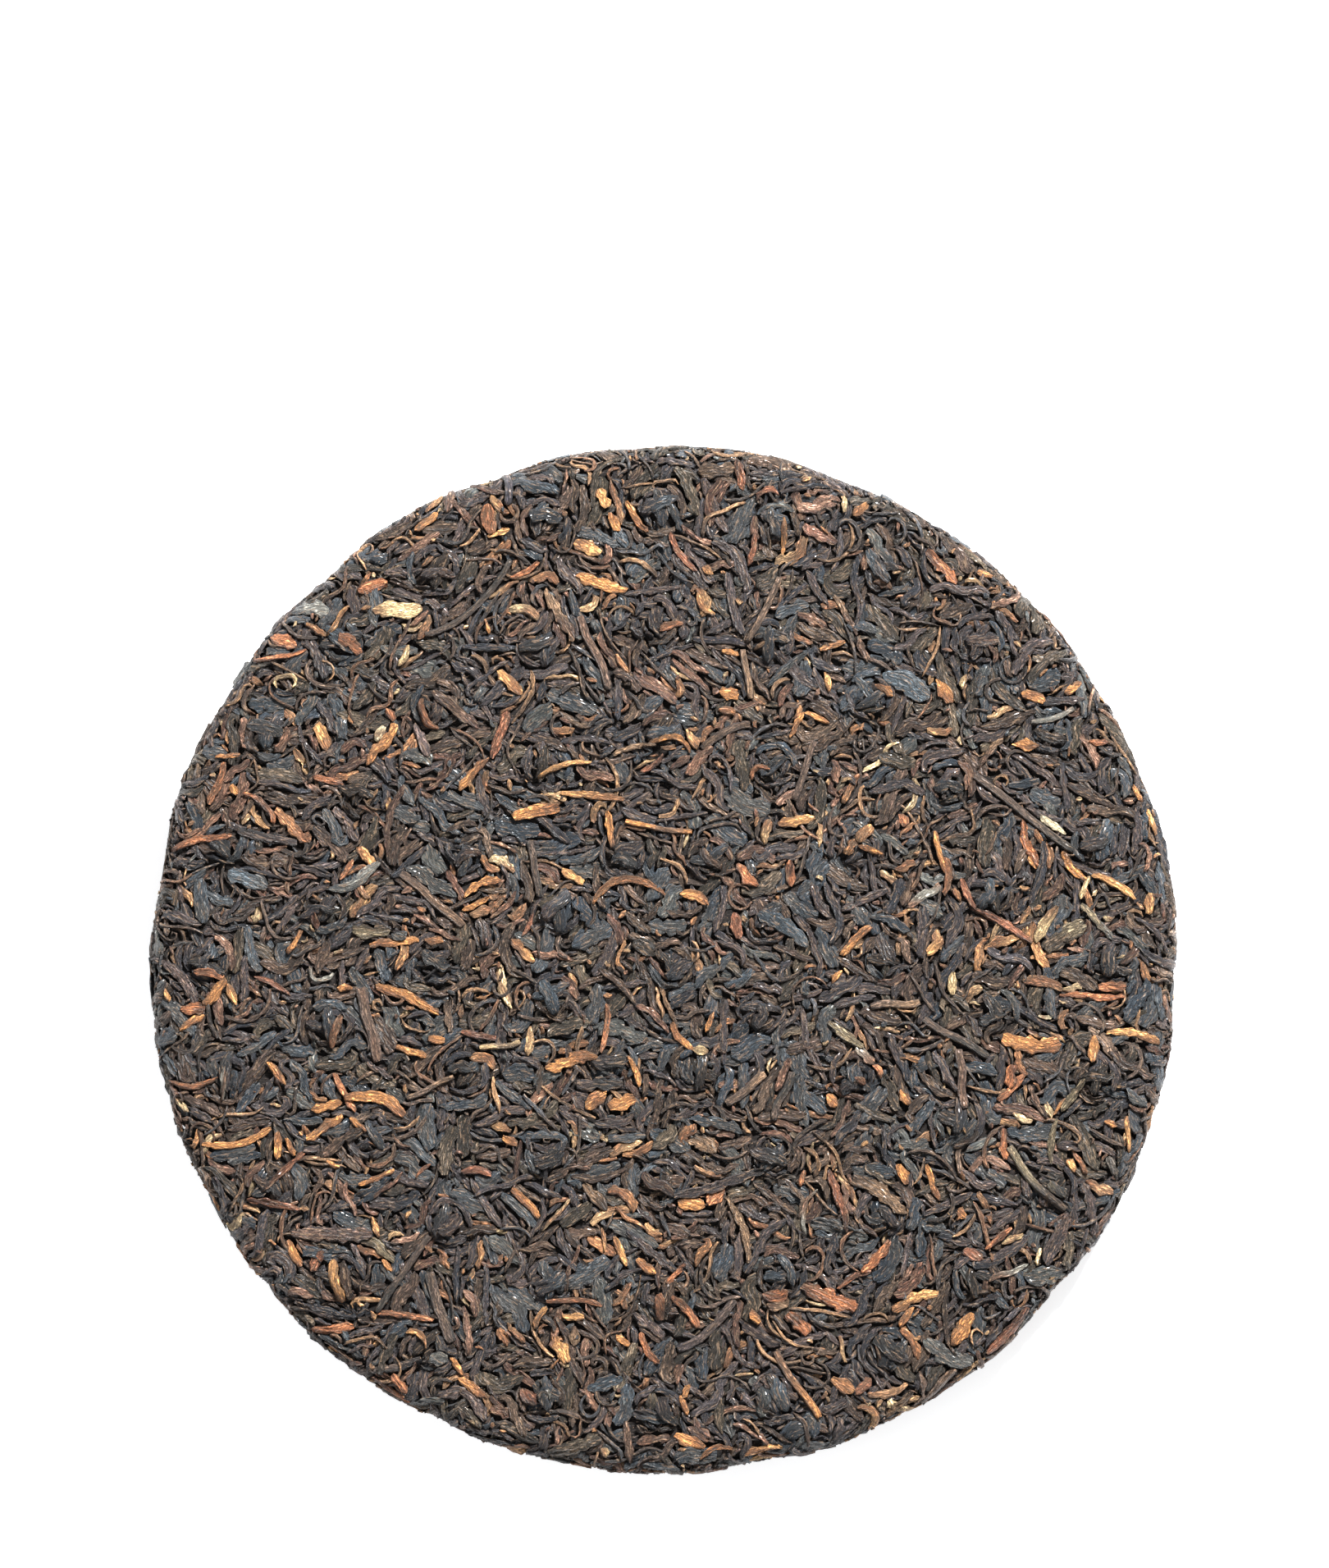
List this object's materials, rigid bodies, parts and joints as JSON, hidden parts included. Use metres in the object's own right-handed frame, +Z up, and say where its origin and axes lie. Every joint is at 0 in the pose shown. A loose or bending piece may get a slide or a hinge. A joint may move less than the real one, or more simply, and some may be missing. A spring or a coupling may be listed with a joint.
{
  "type": "ripe pu-erh tea cake",
  "caption": "Flat round cake of pressed, fermented dark tea leaves, with a gently waved, rounded edge and rings of low nubs on its face.",
  "frame": {"origin": "middle of the plan on the plane of the back, which the cake rests on", "axes": "+Z up out of the nubbed face; +Y towards the top of the picture and +X to its right, seen from above"},
  "size_m": [0.1992, 0.2, 0.0177],
  "materials": {
    "pressed_tea": "dry pressed leaves: near-black brown with a faint sheen, mixed with russet and golden ones"
  },
  "bodies": {
    "root": {"tea_cake": "pressed_tea"}
  },
  "joints": []
}
